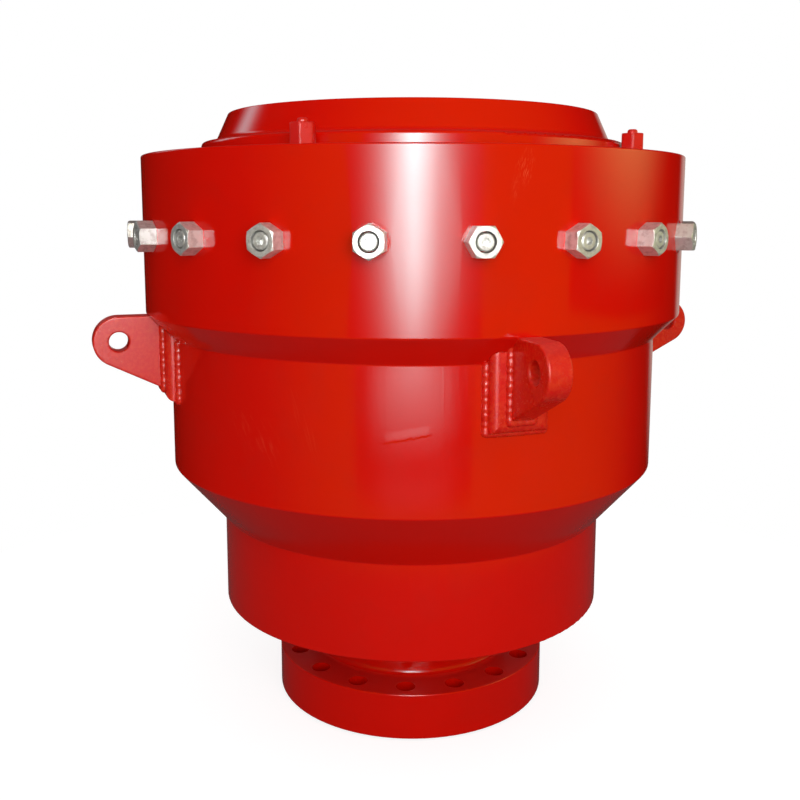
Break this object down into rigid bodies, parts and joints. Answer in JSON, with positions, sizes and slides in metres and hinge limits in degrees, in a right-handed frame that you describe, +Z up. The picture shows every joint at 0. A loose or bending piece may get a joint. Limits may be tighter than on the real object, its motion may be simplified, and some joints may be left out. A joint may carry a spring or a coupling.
{
  "type": "annular blowout preventer",
  "caption": "Annular blowout preventer: stepped cylindrical body on a flanged base, with a head held by a ring of radial lock screws and lifting lugs around the waist.",
  "frame": {"origin": "centre of the bottom flange's raised face, on the well bore's axis", "axes": "+Z up along the well bore, -X, +Y and -Y through three of the four lifting lugs"},
  "size_m": [1.5298, 1.53, 1.431],
  "materials": {
    "red_paint": "gloss",
    "plated_steel": "zinc plated, satin",
    "machined_steel": "machined, oiled",
    "black_rubber": "matt"
  },
  "bodies": {
    "root": {"body": "red_paint", "head": "red_paint", "wear_plate": "machined_steel", "packing_rubber": "black_rubber", "packing_inserts": "machined_steel", "piston": "machined_steel", "inner_sleeve": "machined_steel", "operating_screws": "plated_steel", "locking_jaws": "machined_steel", "keeper_studs": "red_paint", "closing_port_plug": "red_paint", "opening_port_plug": "red_paint", "gland_nut_01": "plated_steel", "gland_nut_02": "plated_steel", "gland_nut_03": "plated_steel", "gland_nut_04": "plated_steel", "gland_nut_05": "plated_steel", "gland_nut_06": "plated_steel", "gland_nut_07": "plated_steel", "gland_nut_08": "plated_steel", "gland_nut_09": "plated_steel", "gland_nut_10": "plated_steel", "gland_nut_11": "plated_steel", "gland_nut_12": "plated_steel", "gland_nut_13": "plated_steel", "gland_nut_14": "plated_steel", "gland_nut_15": "plated_steel", "gland_nut_16": "plated_steel", "gland_nut_17": "plated_steel", "gland_nut_18": "plated_steel", "gland_nut_19": "plated_steel", "gland_nut_20": "plated_steel", "keeper_nut_1": "red_paint", "keeper_nut_2": "red_paint", "keeper_nut_3": "red_paint", "keeper_nut_4": "red_paint", "lifting_lug_1": "red_paint", "lifting_lug_2": "red_paint", "lifting_lug_3": "red_paint", "lifting_lug_4": "red_paint"}
  },
  "joints": []
}
